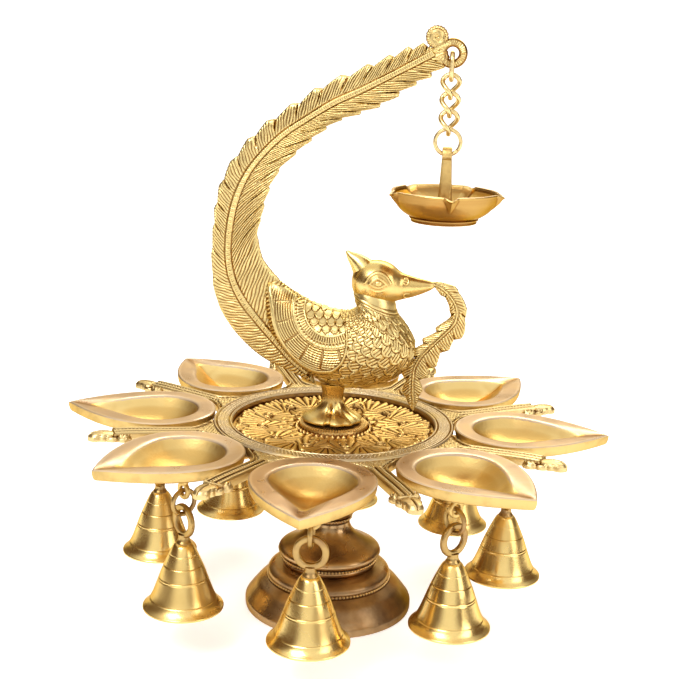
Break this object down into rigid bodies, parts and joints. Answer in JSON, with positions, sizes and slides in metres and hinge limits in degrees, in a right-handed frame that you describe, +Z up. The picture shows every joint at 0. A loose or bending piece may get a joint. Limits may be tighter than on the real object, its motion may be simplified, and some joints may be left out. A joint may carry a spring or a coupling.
{
  "type": "brass peacock oil lamp",
  "caption": "Brass table oil lamp: turned pedestal, pierced plate with leaf-shaped oil dishes and bells, and a peacock whose curled tail carries a hanging bowl.",
  "frame": {"origin": "middle of the base's underside, on the surface that the lamp stands on", "axes": "+Z up, +X the way the peacock looks, +Y to its left"},
  "size_m": [0.29, 0.29, 0.312],
  "materials": {
    "aged_brass": "satin",
    "cast_brass": "satin",
    "bell_brass": "polished",
    "dish_brass": "polished",
    "link_brass": "satin",
    "rod_brass": "satin"
  },
  "bodies": {
    "stand": {"pedestal_base": "aged_brass", "pedestal_stem": "aged_brass", "tie_rod": "rod_brass", "washer": "rod_brass", "nut": "rod_brass", "plate_ring": "cast_brass", "medallion": "cast_brass", "dish_1": "dish_brass", "dish_2": "dish_brass", "dish_3": "dish_brass", "dish_4": "dish_brass", "dish_5": "dish_brass", "dish_6": "dish_brass", "dish_7": "dish_brass", "dish_8": "dish_brass", "peacock_foot": "cast_brass", "peacock_body": "cast_brass", "peacock_tail": "cast_brass", "garland": "cast_brass"},
    "ring_body_1": {"hanging_ring_1": "link_brass"},
    "bell_body_1": {"bell_1": "bell_brass", "bell_eye_1": "link_brass"},
    "clapper_body_1": {"clapper_1": "rod_brass"},
    "ring_body_2": {"hanging_ring_2": "link_brass"},
    "bell_body_2": {"bell_2": "bell_brass", "bell_eye_2": "link_brass"},
    "clapper_body_2": {"clapper_2": "rod_brass"},
    "ring_body_3": {"hanging_ring_3": "link_brass"},
    "bell_body_3": {"bell_3": "bell_brass", "bell_eye_3": "link_brass"},
    "clapper_body_3": {"clapper_3": "rod_brass"},
    "ring_body_4": {"hanging_ring_4": "link_brass"},
    "bell_body_4": {"bell_4": "bell_brass", "bell_eye_4": "link_brass"},
    "clapper_body_4": {"clapper_4": "rod_brass"},
    "ring_body_5": {"hanging_ring_5": "link_brass"},
    "bell_body_5": {"bell_5": "bell_brass", "bell_eye_5": "link_brass"},
    "clapper_body_5": {"clapper_5": "rod_brass"},
    "ring_body_6": {"hanging_ring_6": "link_brass"},
    "bell_body_6": {"bell_6": "bell_brass", "bell_eye_6": "link_brass"},
    "clapper_body_6": {"clapper_6": "rod_brass"},
    "ring_body_7": {"hanging_ring_7": "link_brass"},
    "bell_body_7": {"bell_7": "bell_brass", "bell_eye_7": "link_brass"},
    "clapper_body_7": {"clapper_7": "rod_brass"},
    "ring_body_8": {"hanging_ring_8": "link_brass"},
    "bell_body_8": {"bell_8": "bell_brass", "bell_eye_8": "link_brass"},
    "clapper_body_8": {"clapper_8": "rod_brass"},
    "top_link_body": {"top_link": "link_brass"},
    "link_2_body": {"link_2": "link_brass"},
    "link_3_body": {"link_3": "link_brass"},
    "link_4_body": {"link_4": "link_brass"},
    "split_ring_body": {"split_ring": "link_brass"},
    "hanging_bowl_body": {"hanging_bowl": "dish_brass"}
  },
  "joints": [
    {"name": "ring_swing_1", "type": "hinge", "parent": "stand", "child": "ring_body_1", "pos_m": [0, -0.0944, 0.0856], "axis": [1, 0, 0], "range_deg": [-25, 25]},
    {"name": "bell_sway_1", "type": "hinge", "parent": "ring_body_1", "child": "bell_body_1", "pos_m": [0, -0.0944, 0.0732], "axis": [0, -1, 0], "range_deg": [-25, 25]},
    {"name": "clapper_strike_1", "type": "hinge", "parent": "bell_body_1", "child": "clapper_body_1", "pos_m": [0, -0.0944, 0.0523], "axis": [1, 0, 0], "range_deg": [-18, 18]},
    {"name": "ring_swing_2", "type": "hinge", "parent": "stand", "child": "ring_body_2", "pos_m": [0.06675, -0.06675, 0.0856], "axis": [0.7071, 0.7071, 0], "range_deg": [-25, 25]},
    {"name": "bell_sway_2", "type": "hinge", "parent": "ring_body_2", "child": "bell_body_2", "pos_m": [0.06675, -0.06675, 0.0732], "axis": [0.7071, -0.7071, 0], "range_deg": [-25, 25]},
    {"name": "clapper_strike_2", "type": "hinge", "parent": "bell_body_2", "child": "clapper_body_2", "pos_m": [0.06675, -0.06675, 0.0523], "axis": [0.7071, 0.7071, 0], "range_deg": [-18, 18]},
    {"name": "ring_swing_3", "type": "hinge", "parent": "stand", "child": "ring_body_3", "pos_m": [0.0944, 0, 0.0856], "axis": [0, 1, 0], "range_deg": [-25, 25]},
    {"name": "bell_sway_3", "type": "hinge", "parent": "ring_body_3", "child": "bell_body_3", "pos_m": [0.0944, 0, 0.0732], "axis": [1, 0, 0], "range_deg": [-25, 25]},
    {"name": "clapper_strike_3", "type": "hinge", "parent": "bell_body_3", "child": "clapper_body_3", "pos_m": [0.0944, 0, 0.0523], "axis": [0, 1, 0], "range_deg": [-18, 18]},
    {"name": "ring_swing_4", "type": "hinge", "parent": "stand", "child": "ring_body_4", "pos_m": [0.06675, 0.06675, 0.0856], "axis": [-0.7071, 0.7071, 0], "range_deg": [-25, 25]},
    {"name": "bell_sway_4", "type": "hinge", "parent": "ring_body_4", "child": "bell_body_4", "pos_m": [0.06675, 0.06675, 0.0732], "axis": [0.7071, 0.7071, 0], "range_deg": [-25, 25]},
    {"name": "clapper_strike_4", "type": "hinge", "parent": "bell_body_4", "child": "clapper_body_4", "pos_m": [0.06675, 0.06675, 0.0523], "axis": [-0.7071, 0.7071, 0], "range_deg": [-18, 18]},
    {"name": "ring_swing_5", "type": "hinge", "parent": "stand", "child": "ring_body_5", "pos_m": [0, 0.0944, 0.0856], "axis": [-1, 0, 0], "range_deg": [-25, 25]},
    {"name": "bell_sway_5", "type": "hinge", "parent": "ring_body_5", "child": "bell_body_5", "pos_m": [0, 0.0944, 0.0732], "axis": [0, 1, 0], "range_deg": [-25, 25]},
    {"name": "clapper_strike_5", "type": "hinge", "parent": "bell_body_5", "child": "clapper_body_5", "pos_m": [0, 0.0944, 0.0523], "axis": [-1, 0, 0], "range_deg": [-18, 18]},
    {"name": "ring_swing_6", "type": "hinge", "parent": "stand", "child": "ring_body_6", "pos_m": [-0.06675, 0.06675, 0.0856], "axis": [-0.7071, -0.7071, 0], "range_deg": [-25, 25]},
    {"name": "bell_sway_6", "type": "hinge", "parent": "ring_body_6", "child": "bell_body_6", "pos_m": [-0.06675, 0.06675, 0.0732], "axis": [-0.7071, 0.7071, 0], "range_deg": [-25, 25]},
    {"name": "clapper_strike_6", "type": "hinge", "parent": "bell_body_6", "child": "clapper_body_6", "pos_m": [-0.06675, 0.06675, 0.0523], "axis": [-0.7071, -0.7071, 0], "range_deg": [-18, 18]},
    {"name": "ring_swing_7", "type": "hinge", "parent": "stand", "child": "ring_body_7", "pos_m": [-0.0944, 0, 0.0856], "axis": [0, -1, 0], "range_deg": [-25, 25]},
    {"name": "bell_sway_7", "type": "hinge", "parent": "ring_body_7", "child": "bell_body_7", "pos_m": [-0.0944, 0, 0.0732], "axis": [-1, 0, 0], "range_deg": [-25, 25]},
    {"name": "clapper_strike_7", "type": "hinge", "parent": "bell_body_7", "child": "clapper_body_7", "pos_m": [-0.0944, 0, 0.0523], "axis": [0, -1, 0], "range_deg": [-18, 18]},
    {"name": "ring_swing_8", "type": "hinge", "parent": "stand", "child": "ring_body_8", "pos_m": [-0.06675, -0.06675, 0.0856], "axis": [0.7071, -0.7071, 0], "range_deg": [-25, 25]},
    {"name": "bell_sway_8", "type": "hinge", "parent": "ring_body_8", "child": "bell_body_8", "pos_m": [-0.06675, -0.06675, 0.0732], "axis": [-0.7071, -0.7071, 0], "range_deg": [-25, 25]},
    {"name": "clapper_strike_8", "type": "hinge", "parent": "bell_body_8", "child": "clapper_body_8", "pos_m": [-0.06675, -0.06675, 0.0523], "axis": [0.7071, -0.7071, 0], "range_deg": [-18, 18]},
    {"name": "top_link_swing", "type": "hinge", "parent": "stand", "child": "top_link_body", "pos_m": [0.0525, 0, 0.2984], "axis": [0, 1, 0], "range_deg": [-20, 10]},
    {"name": "link_2_swing", "type": "hinge", "parent": "top_link_body", "child": "link_2_body", "pos_m": [0.0525, 0, 0.2881], "axis": [1, 0, 0], "range_deg": [-15, 15]},
    {"name": "link_3_swing", "type": "hinge", "parent": "link_2_body", "child": "link_3_body", "pos_m": [0.0525, 0, 0.2766], "axis": [0, 1, 0], "range_deg": [-12, 8]},
    {"name": "link_4_swing", "type": "hinge", "parent": "link_3_body", "child": "link_4_body", "pos_m": [0.0525, 0, 0.2703], "axis": [1, 0, 0], "range_deg": [-15, 15]},
    {"name": "split_ring_swing", "type": "hinge", "parent": "link_4_body", "child": "split_ring_body", "pos_m": [0.0525, 0, 0.2588], "axis": [0, 1, 0], "range_deg": [-13, 7]},
    {"name": "hanging_bowl_swing", "type": "hinge", "parent": "split_ring_body", "child": "hanging_bowl_body", "pos_m": [0.0525, 0, 0.24845], "axis": [1, 0, 0], "range_deg": [-20, 20]}
  ]
}
